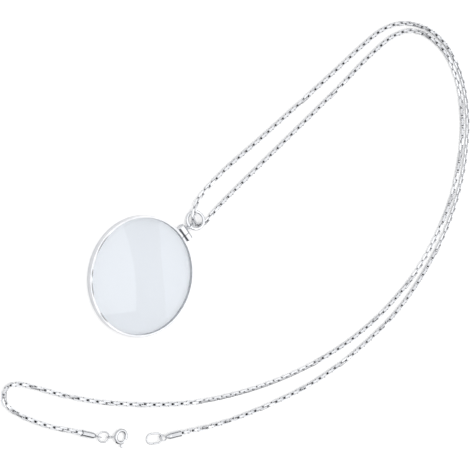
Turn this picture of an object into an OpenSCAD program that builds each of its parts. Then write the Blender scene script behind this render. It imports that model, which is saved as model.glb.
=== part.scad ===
// Magnifier pendant on a long chain, lying flat on a table.
// Origin: centre of the glass, on the surface that it rests on. +Z is up, +Y points to the bail.
// All sizes are in millimetres.

/* [Glass] */
// Diameter of the glass, with the edge that the rim hides
lens_d = 43.6; // [34:0.2:52]
// Thickness of the glass at its edge
lens_edge = 1.1; // [0.8:0.1:1.5]
// Rise of the upper face from its edge to its middle
lens_rise = 2.4; // [1:0.1:4]

/* [Rim] */
// Height of the rim
rim_h = 2.5; // [2.4:0.1:4]
// Wall of the rim outside the edge of the glass
rim_wall = 0.6; // [0.5:0.05:1.5]
// Reach of each lip over the edge of the glass
lip = 0.55; // [0.3:0.05:1]
// Rounding of the rim's four corners
rim_round = 0.18; // [0.1:0.02:0.2]
// Space between the glass and its groove
lens_gap = 0.1; // [0.05:0.05:0.2]

/* [Closing block] */
// Diameter of the barrel that closes the rim
barrel_d = 3.2; // [2.6:0.1:4]
// Length of the barrel
barrel_len = 6.2; // [5:0.2:9]
// Width of the saw cut through the rim and the barrel
split_w = 0.25; // [0.15:0.05:0.5]
// Place of the saw cut along the barrel, from its middle
split_x = 0.45; // [0.3:0.05:0.8]
// Height of the soldered foot between the barrel and the rim
foot_h = 1.5; // [1:0.1:2]
// Diameter of the screw's thread
screw_d = 1.1; // [0.8:0.1:1.4]
// Length of the whole screw
screw_len = 5.4; // [4:0.2:6]
// Diameter of the screw's head
head_d = 2; // [1.6:0.1:2.2]
// Length of the screw's head
head_h = 0.8; // [0.6:0.1:1]
// Width of the slot in the screw's head
slot_w = 0.4; // [0.3:0.05:0.5]
// Depth of the slot in the screw's head
slot_depth = 0.4; // [0.2:0.05:0.5]
// Space all round the screw
screw_gap = 0.1; // [0.05:0.05:0.15]

/* [Bail] */
// Outer diameter of the eye soldered to the barrel
eye_d = 3.2; // [2.8:0.1:3.3]
// Wire of that eye
eye_wire = 0.7; // [0.6:0.05:0.8]
// Place of the eye along the barrel, from its middle
eye_x = -0.4; // [-0.8:0.1:-0.2]
// Outer diameter of the bail ring
bail_d = 7.8; // [7.4:0.1:9]
// Wire of the bail ring
bail_wire = 1.2; // [0.8:0.05:1.3]

/* [Chain] */
// Width of the chain
chain_w = 1.9; // [1.4:0.1:2]

/* [End caps] */
// Outer diameter of an end cap
cap_d = 2.4; // [2.3:0.1:2.8]
// Outer diameter of the lip round its mouth
cap_lip_d = 2.6; // [2.5:0.1:3]
// Width of that lip
cap_lip_w = 0.4; // [0.2:0.1:0.8]
// Length of an end cap without its tip
cap_len = 5; // [3:0.2:6]
// Length of the tip that narrows to the eye
tip_len = 1.4; // [0.8:0.1:2]
// Diameter of the tip where it meets the eye
tip_d = 0.9; // [0.7:0.1:1.2]
// Length of chain held inside an end cap
cap_grip = 2; // [1:0.2:2.6]
// Space round the chain inside an end cap
cap_gap = 0.06; // [0.03:0.01:0.1]
// Outer diameter of the upright eye on the first cap
cap_eye_a_d = 2.3; // [2:0.1:2.5]
// Outer diameter of the leaning eye on the second cap
cap_eye_b_d = 3; // [2.6:0.1:3.2]
// Wire of both eyes
cap_eye_wire = 0.5; // [0.4:0.05:0.55]
// Lean of the eye on the second cap
cap_eye_b_lean = 43; // [30:1:60]

/* [Jump rings] */
// Length of the jump ring on the first cap
ring_a_len = 5.2; // [5:0.1:7]
// Width of that ring
ring_a_w = 4.4; // [4:0.1:5]
// Wire of that ring
ring_a_wire = 0.6; // [0.45:0.05:0.6]
// Direction of that ring, seen from above
ring_a_turn = 42; // [36:1:50]
// Length of the jump ring on the second cap
ring_b_len = 6.9; // [6:0.1:8]
// Width of that ring
ring_b_w = 4.4; // [4:0.1:5]
// Wire of that ring
ring_b_wire = 0.65; // [0.5:0.05:0.7]
// Direction of that ring, seen from above
ring_b_turn = 230; // [222:1:238]
// Width of the open joint in that ring
ring_b_cut = 0.15; // [0.05:0.05:0.3]

/* [Spring ring clasp] */
// Outer diameter of the clasp
clasp_d = 6; // [5.6:0.1:8]
// Diameter of the bent tube
tube_d = 1.35; // [1.2:0.05:1.5]
// Diameter of the bore in the tube
tube_bore = 0.92; // [0.88:0.02:1]
// Direction of the clasp, seen from above
clasp_turn = 46; // [40:1:52]
// Opening in the ring that the bolt closes, as an angle
mouth_angle = 40; // [30:1:44]
// Outer diameter of the clasp's own eye
clasp_eye_d = 2.3; // [2.1:0.1:2.4]
// Wire of that eye
clasp_eye_wire = 0.5; // [0.4:0.05:0.55]
// Length of the neck between the tube and that eye
neck_len = 1.3; // [0.4:0.1:1.6]
// Diameter of the neck
neck_d = 0.8; // [0.6:0.1:1]
// Diameter of the bolt that slides in the bore
bolt_d = 0.74; // [0.6:0.02:0.78]
// Length of the bolt in its socket past the mouth, as an angle
bolt_catch = 8; // [5:1:12]
// Angle that the bolt travels to clear the mouth
bolt_travel = 50; // [44:1:52]
// Diameter of the stem that carries the knob
stem_d = 0.6; // [0.4:0.05:0.65]
// Diameter of the knob
knob_d = 1.1; // [0.9:0.1:1.3]
// Distance that the knob stands out from the tube
knob_out = 1.3; // [1:0.1:2]

/* [Hidden] */
$fn = 96;

silver = [0.86, 0.87, 0.89];
dark_silver = [0.7, 0.71, 0.73];
glass = [0.78, 0.88, 0.94, 0.45];
// Soldered pieces are sunk this far into each other
sink = 0.1;
// Cutting tools reach this far past what they cut
past = 1;
// What rests on the surface stays this far above it
rest_gap = 0.01;
// A lens is one smooth curve, so its arcs take finer steps than the small parts
fine = 360;

// Rim and glass
groove_r = lens_d / 2 + lens_gap;
rim_r = groove_r + rim_wall;
rim_in_r = lens_d / 2 - lip;
groove_h = lens_edge + 2 * lens_gap;
rim_mid = rim_h / 2;
face_r = rim_in_r - lens_gap;
rise_r = (face_r * face_r + lens_rise * lens_rise) / (2 * lens_rise);

// Closing block
barrel_y = rim_r + barrel_d / 2 - sink;
barrel_lift = 0.05;
barrel_z = barrel_d / 2 + barrel_lift;
screw_recess = 0.05;
screw_start = -barrel_len / 2 + screw_recess;
screw_bore = screw_d + 2 * screw_gap;
head_bore = head_d + 2 * screw_gap;

// Bail: the ring hangs in the eye, lies on the surface at its left and on the chain at its right
eye_y = barrel_y + barrel_d / 2 + eye_d / 2 - sink;
eye_post_d = 1;
bail_pull = 0.1;
bail_r = (bail_d - bail_wire) / 2;
bail_y = eye_y + bail_pull + bail_r;
bail_lean = asin((barrel_z - bail_wire / 2 - 2 * rest_gap) / bail_r);

// Chain: places of its middle line, measured from the middle of the bail ring, and how far
// each place lies above the chain's resting height. Its first half runs from the first end cap
// into the bail ring, and its second half from there to the second end cap.
chain_sides = 8;
chain_z = chain_w / 2 + rest_gap;
cap_lift = (cap_lip_d - chain_w) / 2;
chain_points = [[
    [29.3, -84.3, cap_lift], [24.8, -87.3, cap_lift], [16.5, -93, 0], [7, -98, 0],
    [1.5, -100, 0], [-3, -100.5, 0], [-6, -98.5, 0], [-6.5, -95.5, 0], [-4, -92, 0],
    [1, -88.5, 0], [11.5, -82, 0], [24.5, -72.5, 0], [39.5, -59, 0], [53, -44.5, 0],
    [64.5, -28.5, 0], [74.5, -11, 0], [82.5, 7.5, 0], [88, 26.5, 0], [90.5, 46.5, 0],
    [89.5, 66.5, 0], [85.5, 83, 0], [79, 98.5, 0], [70, 111.5, 0], [59, 122.5, 0],
    [47, 130, 0], [41.3, 132.2, 0], [35.5, 133.5, 0], [30.5, 134, 0], [25.5, 133.5, 0],
    [20.5, 132.1, 0], [16, 130, 0], [12.5, 127.3, 0], [9.5, 124, 0], [7.4, 119.7, 0],
    [6, 115, 0], [5, 102, 0], [5, 82, 0], [4, 42, 0], [3.5, 22, 0], [3.5, 10, 0],
    [3.8, 5.5, 0], [3.8, 3, 0], [3.3, 1.2, 0], [2.3, -0.1, 0], [1, -0.7, 0.2],
    [-0.4, -0.7, 0.8]], [
    [-1.7, -0.2, 1.3], [-2.9, 0.9, 1.45], [-3.9, 2.5, 1.1], [-4.6, 4.7, 0.4],
    [-5.2, 8, 0], [-5.5, 22, 0], [-4, 42, 0], [-1.5, 82, 0],
    [-0.5, 102, 0], [0.5, 112, 0], [1.9, 117, 0], [4, 121.5, 0], [6.9, 125.6, 0],
    [10.5, 129, 0], [14.5, 132, 0], [19, 134.2, 0], [23.7, 135.6, 0], [28.5, 136.3, 0],
    [38.5, 135.5, 0], [48, 132.5, 0], [57, 127.5, 0], [65, 121, 0], [73, 112.5, 0],
    [80, 102.5, 0], [86.5, 90, 0], [91.5, 75, 0], [94.5, 59.5, 0], [95.3, 49.5, 0],
    [95, 39.5, 0], [92.5, 19.5, 0], [87.5, 0, 0], [80, -18.5, 0], [71, -36.5, 0],
    [64, -47.5, cap_lift], [60.5, -52.5, cap_lift], [57.5, -57, cap_lift]]];
halfway = len(chain_points[0]) - 1;
route = [for (half = chain_points, p = half) [p.x + eye_x, p.y + bail_y, p.z + chain_z]];
last = len(route) - 1;

// End caps
cap_z = chain_z + cap_lift;
cap_bore = chain_w + 2 * cap_gap;
cap_end_room = 0.3;
cap_bore_len = cap_grip + cap_end_room;
cap_a_turn = heading(route[1], route[0]);
cap_b_turn = heading(route[last - 1], route[last]);
cap_a_mouth = route[0] - cap_grip * along(cap_a_turn);
cap_b_mouth = route[last] - cap_grip * along(cap_b_turn);

// Jump rings: each lies low in the eye that holds it
eye_a_x = cap_len + tip_len + cap_eye_a_d / 2 - sink;
eye_b_x = cap_len + tip_len + cap_eye_b_d / 2 - sink;
eye_a_at = cap_a_mouth + eye_a_x * along(cap_a_turn);
eye_b_at = cap_b_mouth + eye_b_x * along(cap_b_turn);
ring_a_drop = 0.2;
ring_a_at = eye_a_at - [0, 0, ring_a_drop];
ring_a_reach = ring_a_len - ring_a_wire;
ring_a_end = ring_a_at + ring_a_reach * along(ring_a_turn);
// The second ring is held near the outer side of its eye and lies down to the surface
ring_b_drop = 0.1;
ring_b_pull = 0.4;
ring_b_at = eye_b_at + ring_b_pull * along(cap_b_turn) - [0, 0, ring_b_drop];
ring_b_reach = ring_b_len - ring_b_wire;
ring_b_slope = asin((ring_b_at.z - ring_b_wire / 2 - 2 * rest_gap) / ring_b_reach);

// Clasp: its eye stands on the first jump ring, and its far side lies on the surface
tube_r = (clasp_d - tube_d) / 2;
clasp_eye_x = clasp_d / 2 + neck_len + clasp_eye_d / 2 - sink;
clasp_eye_at = ring_a_end + [0, 0, ring_a_drop];
clasp_slope = asin((clasp_eye_at.z - tube_d / 2 - 2 * rest_gap) / (clasp_eye_x + tube_r));
clasp_at = clasp_eye_at
    + clasp_eye_x * (cos(clasp_slope) * along(clasp_turn) - [0, 0, sin(clasp_slope)]);
// Angles round the clasp, counted from the side away from its eye
knob_angle = 278;
knob_to_mouth = 16;
bolt_behind_knob = 12;
bore_room = 4;
bore_overrun = 1;
mouth_start = knob_angle + knob_to_mouth;
mouth_end = mouth_start + mouth_angle;
bolt_start = knob_angle - bolt_behind_knob;
bolt_end = mouth_end + bolt_catch;
socket_end = bolt_end + bore_room;
chamber_start = bolt_start - bolt_travel - bore_room;
slot_margin = 10;
stem_gap = 0.05;
stem_slot_w = stem_d + 2 * stem_gap;

// Direction in the plane at an angle
function along(turn) = [cos(turn), sin(turn), 0];
// Angle in the plane from one place to another
function heading(from, to) = atan2(to.y - from.y, to.x - from.x);
function unit(v) = v / norm(v);
// Direction of the chain at one of its places
function chain_heading(i) = unit(route[min(i + 1, last)] - route[max(i - 1, 0)]);
// Ring of corners round the chain at one of its places
function chain_ring(i) =
    let (ahead = chain_heading(i), side = unit(cross([0, 0, 1], ahead)), top = cross(ahead, side))
    [for (k = [0 : chain_sides - 1])
        let (turn = 360 * (k + 0.5) / chain_sides)
        route[i] + chain_w / 2 * (cos(turn) * side + sin(turn) * top)];

// Stretch of the chain between two of its places, as one tube
module chain_stretch(first, final) {
    rings = final - first;
    corners = [for (i = [first : final]) each chain_ring(i)];
    sides = [for (i = [0 : rings - 1], k = [0 : chain_sides - 1])
        let (next = (k + 1) % chain_sides, low = i * chain_sides, high = low + chain_sides)
        [low + k, high + k, high + next, low + next]];
    start_face = [for (k = [0 : chain_sides - 1]) k];
    end_face = [for (k = [chain_sides - 1 : -1 : 0]) rings * chain_sides + k];
    polyhedron(corners, concat([start_face], sides, [end_face]));
}

// Wire ring with its middle at the origin, flat in X and Y
module wire_ring(outer_d, wire) {
    rotate_extrude()
        translate([(outer_d - wire) / 2, 0])
            circle(d = wire);
}

// Part of a bent bar of round section
module bent_bar(radius, bar_d, start, end) {
    rotate([0, 0, start])
        rotate_extrude(angle = end - start)
            translate([radius, 0])
                circle(d = bar_d);
}

// Straight bar along X
module bar(bar_d, from, to) {
    translate([from, 0, 0])
        rotate([0, 90, 0])
            cylinder(d = bar_d, h = to - from);
}

// Oval wire ring along X. The middle of its wire at the near end is at the origin.
module oval_ring(length, width, wire) {
    bend_r = (width - wire) / 2;
    far_x = length - wire - bend_r;
    translate([bend_r, 0, 0])
        bent_bar(bend_r, wire, 90, 270);
    translate([far_x, 0, 0])
        bent_bar(bend_r, wire, -90, 90);
    for (side = [-1, 1])
        translate([0, side * bend_r, 0])
            bar(wire, bend_r, far_x);
}

// Square with round corners
module soft_square(width, height, round_r) {
    translate([round_r, 0])
        square([width - 2 * round_r, height]);
    translate([0, round_r])
        square([width, height - 2 * round_r]);
    for (x = [round_r, width - round_r], y = [round_r, height - round_r])
        translate([x, y])
            circle(r = round_r);
}

module lens() {
    color(glass)
        union() {
            translate([0, 0, rim_mid - lens_edge / 2])
                cylinder(d = lens_d, h = lens_edge, $fn = fine);
            translate([0, 0, rim_mid + lens_edge / 2])
                lens_dome();
        }
}

// Domed upper face of the glass, standing on the flat part of its edge
module lens_dome() {
    intersection() {
        translate([0, 0, lens_rise - rise_r])
            sphere(r = rise_r, $fn = fine);
        cylinder(r = face_r, h = lens_rise + past, $fn = fine);
    }
}

module rim() {
    color(silver)
        difference() {
            union() {
                rim_band();
                translate([0, barrel_y, barrel_z])
                    bar(barrel_d, -barrel_len / 2, barrel_len / 2);
                barrel_foot();
                bail_eye();
            }
            screw_holes();
            saw_cut();
        }
}

// The rim's round band, with the groove for the glass
module rim_band() {
    rotate_extrude($fn = fine)
        difference() {
            translate([rim_in_r, 0])
                soft_square(rim_r - rim_in_r, rim_h, rim_round);
            translate([rim_in_r - past, rim_mid - groove_h / 2])
                square([groove_r - rim_in_r + past, groove_h]);
        }
}

// Soldered foot that joins the barrel to the band
module barrel_foot() {
    foot_y = groove_r + sink;
    translate([-barrel_len / 2, foot_y, rim_mid - foot_h / 2])
        cube([barrel_len, barrel_y - foot_y, foot_h]);
}

// Eye soldered to the barrel on a short post, upright across the barrel
module bail_eye() {
    translate([eye_x, eye_y, barrel_z])
        rotate([0, 90, 0])
            wire_ring(eye_d, eye_wire);
    translate([eye_x, barrel_y, barrel_z])
        rotate([-90, 0, 0])
            cylinder(d = eye_post_d, h = eye_y - barrel_y - eye_d / 2 + eye_wire / 2);
}

module screw_holes() {
    translate([0, barrel_y, barrel_z]) {
        bar(screw_bore, -barrel_len / 2 - past, screw_start + screw_len + screw_gap);
        bar(head_bore, -barrel_len / 2 - past, screw_start + head_h + screw_gap);
    }
}

module saw_cut() {
    translate([split_x - split_w / 2, rim_in_r - past, -past])
        cube([split_w, barrel_y + barrel_d / 2 - rim_in_r + 2 * past, barrel_d + 2 * past]);
}

module closing_screw() {
    color(dark_silver)
        translate([0, barrel_y, barrel_z])
            difference() {
                union() {
                    bar(head_d, screw_start, screw_start + head_h);
                    bar(screw_d, screw_start, screw_start + screw_len);
                }
                translate([screw_start - past, -head_d, -slot_w / 2])
                    cube([past + slot_depth, 2 * head_d, slot_w]);
            }
}

module bail_ring() {
    color(silver)
        translate([eye_x, bail_y, barrel_z])
            rotate([0, -bail_lean, 0])
                wire_ring(bail_d, bail_wire);
}

module chain_inner() {
    color(silver)
        chain_stretch(0, halfway);
}

module chain_outer() {
    color(silver)
        chain_stretch(halfway, last);
}

// End cap along X, with its mouth at the origin
module end_cap(cap_eye_d, lean) {
    difference() {
        union() {
            bar(cap_d, 0, cap_len);
            bar(cap_lip_d, 0, cap_lip_w);
            translate([cap_len, 0, 0])
                rotate([0, 90, 0])
                    cylinder(d1 = cap_d, d2 = tip_d, h = tip_len);
        }
        bar(cap_bore, -past, cap_bore_len);
    }
    translate([cap_len + tip_len + cap_eye_d / 2 - sink, 0, 0])
        rotate([lean, 0, 0])
            wire_ring(cap_eye_d, cap_eye_wire);
}

module end_cap_a() {
    color(silver)
        translate(cap_a_mouth)
            rotate([0, 0, cap_a_turn])
                end_cap(cap_eye_a_d, 90);
}

module end_cap_b() {
    color(silver)
        translate(cap_b_mouth)
            rotate([0, 0, cap_b_turn])
                end_cap(cap_eye_b_d, cap_eye_b_lean);
}

module jump_ring_a() {
    color(silver)
        translate(ring_a_at)
            rotate([0, 0, ring_a_turn])
                oval_ring(ring_a_len, ring_a_w, ring_a_wire);
}

module jump_ring_b() {
    cut_x = ring_b_len / 2;
    color(silver)
        translate(ring_b_at)
            rotate([0, ring_b_slope, ring_b_turn])
                difference() {
                    oval_ring(ring_b_len, ring_b_w, ring_b_wire);
                    translate([cut_x, 0, -ring_b_wire])
                        cube([ring_b_cut, ring_b_w, 2 * ring_b_wire]);
                }
}

// Place of the clasp: +X points away from its eye, and the eye's side is higher
module at_clasp() {
    translate(clasp_at)
        rotate([0, clasp_slope, clasp_turn])
            children();
}

module spring_ring() {
    color(silver)
        at_clasp() {
            difference() {
                wire_ring(clasp_d, tube_d);
                clasp_mouth();
                bent_bar(tube_r, tube_bore, chamber_start, mouth_start + bore_overrun);
                bent_bar(tube_r, tube_bore, mouth_end - bore_overrun, socket_end);
                stem_slot();
            }
            bar(neck_d, -clasp_d / 2 - neck_len, -tube_r);
            translate([-clasp_eye_x, 0, 0])
                rotate([90, 0, 0])
                    wire_ring(clasp_eye_d, clasp_eye_wire);
        }
}

// Space cut out of the clasp's ring where it opens
module clasp_mouth() {
    rotate([0, 0, mouth_start])
        rotate_extrude(angle = mouth_angle)
            translate([tube_r - tube_d, -tube_d])
                square(2 * tube_d);
}

// Slot in the outer wall that the knob's stem runs in
module stem_slot() {
    slot_start = knob_angle - bolt_travel - slot_margin;
    slot_end = knob_angle + slot_margin;
    rotate([0, 0, slot_start])
        rotate_extrude(angle = slot_end - slot_start)
            translate([tube_r, -stem_slot_w / 2])
                square([tube_d, stem_slot_w]);
}

module spring_latch() {
    knob_end = clasp_d / 2 + knob_out;
    color(dark_silver)
        at_clasp() {
            bent_bar(tube_r, bolt_d, bolt_start, bolt_end);
            rotate([0, 0, knob_angle]) {
                bar(stem_d, tube_r, knob_end - knob_d / 2);
                translate([knob_end - knob_d / 2, 0, 0])
                    sphere(d = knob_d);
            }
        }
}

lens();
rim();
closing_screw();
bail_ring();
chain_inner();
chain_outer();
end_cap_a();
end_cap_b();
jump_ring_a();
jump_ring_b();
spring_ring();
spring_latch();
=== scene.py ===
import math

import bpy
import numpy as np
from bpy.props import FloatProperty, FloatVectorProperty, IntProperty, PointerProperty
from mathutils import Matrix, Vector


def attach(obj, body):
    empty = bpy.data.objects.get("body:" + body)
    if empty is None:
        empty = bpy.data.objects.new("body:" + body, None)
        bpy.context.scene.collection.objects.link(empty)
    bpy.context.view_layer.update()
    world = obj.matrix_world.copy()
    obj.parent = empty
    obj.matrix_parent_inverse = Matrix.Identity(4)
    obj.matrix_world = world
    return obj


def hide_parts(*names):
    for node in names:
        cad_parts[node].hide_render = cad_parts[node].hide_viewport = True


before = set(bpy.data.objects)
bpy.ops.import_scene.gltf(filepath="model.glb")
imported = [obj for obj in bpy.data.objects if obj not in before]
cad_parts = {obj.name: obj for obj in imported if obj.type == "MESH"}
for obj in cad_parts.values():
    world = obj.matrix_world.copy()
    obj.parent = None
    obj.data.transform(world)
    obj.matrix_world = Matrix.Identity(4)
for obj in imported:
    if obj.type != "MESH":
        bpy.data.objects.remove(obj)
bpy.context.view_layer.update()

bl_info = {
    "name": "Magnifier Pendant",
    "version": (1, 0, 0),
    "blender": (4, 5, 0),
    "location": "3D View > Sidebar > Pendant",
    "description": "Dresses a magnifier pendant: lens, split rim, link chain and clasp",
    "category": "Add Mesh",
}

MM = 0.001

# Sizes and places on the object, in millimetres and degrees, in the frame of the solid model

RIM_R = 22.5
RIM_IN_R = 21.65
RIM_H = 2.5
GROOVE_R = 21.9
GROOVE_H = 1.3
LENS_R = 21.8
LENS_EDGE = 1.1
LENS_RISE = 2.4
LENS_FACE_R = 21.55
BARREL = np.array([0.0, 24.0, 1.65])
BARREL_R = 1.6
BARREL_LEN = 6.2
SPLIT_X = 0.45
SPLIT_W = 0.25
SCREW_START = -3.05
SCREW_LEN = 5.4
SCREW_R = 0.55
HEAD_R = 1.0
HEAD_H = 0.8
SLOT_W = 0.4
SLOT_DEPTH = 0.4
SCREW_GAP = 0.1
EYE = np.array([-0.4, 27.1, 1.65])
EYE_R = 1.25
EYE_WIRE_R = 0.35
BAIL = np.array([-0.4, 30.5, 1.65])
BAIL_R = 3.3
BAIL_WIRE_R = 0.6
CHAIN_Z = 0.96
CAP_GRIP = 2.0
CAP_R = 1.2
CAP_LIP_R = 1.3
CAP_LIP_W = 0.4
CAP_LEN = 5.0
CAP_BORE_R = 1.01
CAP_BORE_LEN = 2.3
TIP_LEN = 1.4
TIP_R = 0.45
CAP_EYE_WIRE_R = 0.25
CAP_EYE_A_D = 2.3
CAP_EYE_B_D = 3.0
CAP_EYE_B_LEAN = 43.0
RING_A = dict(length=5.2, width=4.4, wire=0.6, turn=42.0, drop=0.2, cut=0.0)
RING_B = dict(length=6.9, width=4.4, wire=0.65, turn=230.0, drop=0.1, pull=0.4, cut=0.1517)
REST_GAP = 0.01
SINK = 0.1
CLASP_R = 3.0
TUBE_D = 1.35
TUBE_BORE = 0.92
CLASP_TURN = 46.0
CLASP_EYE_D = 2.3
CLASP_EYE_WIRE = 0.5
NECK_LEN = 1.3
NECK_D = 0.8
BOLT_D = 0.74
STEM_D = 0.6
KNOB_D = 1.1
KNOB_OUT = 1.3
KNOB_ANGLE = 278.0
MOUTH_START = 294.0
MOUTH_END = 334.0
BOLT_START = 266.0
BOLT_END = 342.0
SOCKET_END = 346.0
CHAMBER_START = 212.0
SLOT_START = 218.0
SLOT_END = 288.0
STEM_SLOT_W = 0.7

# The chain's middle line, as in the solid model: from the first end cap into the bail ring, and
# from there to the second end cap. Each place is measured from the middle of the bail ring.

CHAIN_PLACES = (
    (
        (29.3, -84.3, 0.35), (24.8, -87.3, 0.35), (16.5, -93, 0), (7, -98, 0),
        (1.5, -100, 0), (-3, -100.5, 0), (-6, -98.5, 0), (-6.5, -95.5, 0), (-4, -92, 0),
        (1, -88.5, 0), (11.5, -82, 0), (24.5, -72.5, 0), (39.5, -59, 0), (53, -44.5, 0),
        (64.5, -28.5, 0), (74.5, -11, 0), (82.5, 7.5, 0), (88, 26.5, 0), (90.5, 46.5, 0),
        (89.5, 66.5, 0), (85.5, 83, 0), (79, 98.5, 0), (70, 111.5, 0), (59, 122.5, 0),
        (47, 130, 0), (41.3, 132.2, 0), (35.5, 133.5, 0), (30.5, 134, 0), (25.5, 133.5, 0),
        (20.5, 132.1, 0), (16, 130, 0), (12.5, 127.3, 0), (9.5, 124, 0), (7.4, 119.7, 0),
        (6, 115, 0), (5, 102, 0), (5, 82, 0), (4, 42, 0), (3.5, 22, 0), (3.5, 10, 0),
        (3.8, 5.5, 0), (3.8, 3, 0), (3.3, 1.2, 0), (2.3, -0.1, 0), (1, -0.7, 0.2),
        (-0.4, -0.7, 0.8),
    ),
    (
        (-1.7, -0.2, 1.3), (-2.9, 0.9, 1.45), (-3.9, 2.5, 1.1), (-4.6, 4.7, 0.4),
        (-5.2, 8, 0), (-5.5, 22, 0), (-4, 42, 0), (-1.5, 82, 0),
        (-0.5, 102, 0), (0.5, 112, 0), (1.9, 117, 0), (4, 121.5, 0), (6.9, 125.6, 0),
        (10.5, 129, 0), (14.5, 132, 0), (19, 134.2, 0), (23.7, 135.6, 0), (28.5, 136.3, 0),
        (38.5, 135.5, 0), (48, 132.5, 0), (57, 127.5, 0), (65, 121, 0), (73, 112.5, 0),
        (80, 102.5, 0), (86.5, 90, 0), (91.5, 75, 0), (94.5, 59.5, 0), (95.3, 49.5, 0),
        (95, 39.5, 0), (92.5, 19.5, 0), (87.5, 0, 0), (80, -18.5, 0), (71, -36.5, 0),
        (64, -47.5, 0.35), (60.5, -52.5, 0.35), (57.5, -57, 0.35),
    ),
)

# How the lying chain is twisted: distance along it in millimetres, and quarter turns. At a whole
# number every second link turns its opening to the viewer, halfway between two of them none does.
# This table and the next were set by hand, from where a scratch script found the photographed
# chain's dark spots.

CHAIN_TWIST = (
    (0, 0), (5, 0), (13, 1), (27, 1), (32, 2), (34, 2), (42, 3), (52, 3), (57, 4), (67, 4),
    (72, 5), (82, 5), (90, 6), (99, 6), (103, 7), (120, 7), (130, 7.5), (180, 7.5), (187, 8),
    (214, 8), (222, 7), (234, 7), (242, 6.5), (262, 6.5), (269, 6), (274, 6), (283, 5.4),
    (299, 4.6), (306, 4), (313, 4), (322, 3.4), (334, 3.4), (342, 3), (350, 3), (358, 2.5),
    (368, 2), (398, 2), (404, 1.8), (411, 1), (476, 1), (484, 0.5), (500, 0.5), (514, 0),
    (558, 0), (566, -1), (612, -1), (624, -1.5), (636, -2), (648, -2), (656, -2.5),
    (732, -2.5), (738, -3), (771, -3), (777, -4), (794, -4), (803, -5), (817, -5), (822, -6),
    (834, -6), (844, -7), (853, -7), (859, -8), (865, -8), (870, -9), (900, -9),
)

# How far the links are drawn along from even steps, where the chain is pulled or slack: distance
# along it and shift, in millimetres

CHAIN_SHIFT = (
    (0, 0), (6, -0.6), (14, -1.4), (33, -1.5), (43, -1.1), (76, -1.1), (99, -0.9), (114, -1.0),
    (186, -1.4), (210, -1.7), (224, -2.2), (233, -2.35), (271, -2.97), (308, -3.45),
    (347, -3.6), (371, -3.0), (382, -3.4), (413, -3.67), (475, -3.6), (519, -3.17),
    (553, -2.87), (572, -2.5), (610, -1.87), (638, -1.0), (743, -1.17), (767, -1.8),
    (794, -2.07), (830, -2.6), (862, -2.8), (876, -2.0), (882, -1.0),
)

# How finely the chain's curve is worked out, and the least share of painted shade that its twisted
# links keep

ROUTE_STEPS = 24
PAINTED_SHADE_LEAST = 0.2

# Stretches of the rim's inner edge beside the glass that are painted with dark reflections, from
# and to in degrees, and the strength of all painted shade and painted dark reflections

RIM_PAINTED_DARKNESS = ((182, 207), (220, 228), (231, 248), (263, 278))
PAINTED_DARKNESS = 0.9

# Colours that metal turns towards: white for painted light, and near black for painted shade and
# painted dark reflections

PAINTED_LIGHT_COLOUR = (0.95, 0.955, 0.965)
PAINTED_DARK_COLOUR = (0.03, 0.032, 0.038)

# Where the photograph's camera stands, in millimetres, the way that it looks, and its lens

CAMERA_AT = (-311.18, -235.94, 602.38)
CAMERA_LOOK = (0.4436, 0.3746, -0.8142)
CAMERA_RIGHT = (0.5101, 0.6414, 0.5731)
CAMERA_LENS = 149.05
SENSOR_W = 36
NEAREST = 0.01

# Soft boxes where the domed glass mirrors them to the camera. Places are in millimetres on a
# plane square to the mirrored view, which lies BOX_FAR metres away. Turns are in degrees, sizes
# in metres, and share is how bright a box is beside its setting.

BOX_FAR = 1.1
SOFT_BOXES = {
    "wide_box": dict(place=(-20, 500), turn=20.6, size=(0.86, 0.62), outline="RECTANGLE",
                     share=1.0),
    "round_box": dict(place=(-30, -345), turn=0.0, size=(0.64, 0.73), outline="ELLIPSE",
                      share=0.13),
}

# The sky: the side where a dark screen stands, where its soft edge starts and ends, and the
# tones from low down to high up

SCREEN_SIDE = (0.72, -0.69, 0)
SCREEN_EDGE = (0.35, 0.72)
SKY_TONES = (
    (0.0, (0.04, 0.04, 0.041, 1)), (0.17, (0.05, 0.05, 0.051, 1)),
    (0.3, (0.75, 0.75, 0.765, 1)), (0.48, (1, 1, 1, 1)),
)


def look(name):
    """The settings group called name."""
    return getattr(bpy.context.scene, "pendant_" + name)


# Directions and turns

UP = np.array([0.0, 0.0, 1.0])


def along(turn):
    """Unit vectors in the plane at one angle in degrees or an array of them."""
    a = np.radians(turn)
    return np.stack([np.cos(a), np.sin(a), 0 * a], -1)


def turn_z(angle):
    a = math.radians(angle)
    return np.array([[math.cos(a), -math.sin(a), 0], [math.sin(a), math.cos(a), 0], [0, 0, 1]])


def turn_y(angle):
    a = math.radians(angle)
    return np.array([[math.cos(a), 0, math.sin(a)], [0, 1, 0], [-math.sin(a), 0, math.cos(a)]])


def turn_x(angle):
    a = math.radians(angle)
    return np.array([[1, 0, 0], [0, math.cos(a), -math.sin(a)], [0, math.sin(a), math.cos(a)]])


def heading(x, y):
    """Angle in degrees of a step in the plane."""
    return math.degrees(math.atan2(y, x))


def slope(rise, reach):
    """Angle in degrees at which a straight part of length reach rises by rise."""
    return math.degrees(math.asin(rise / reach))


def unit(v):
    return v / np.linalg.norm(v, axis=-1, keepdims=True)


# Places that follow from the chain's two ends, as in the solid model

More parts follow.
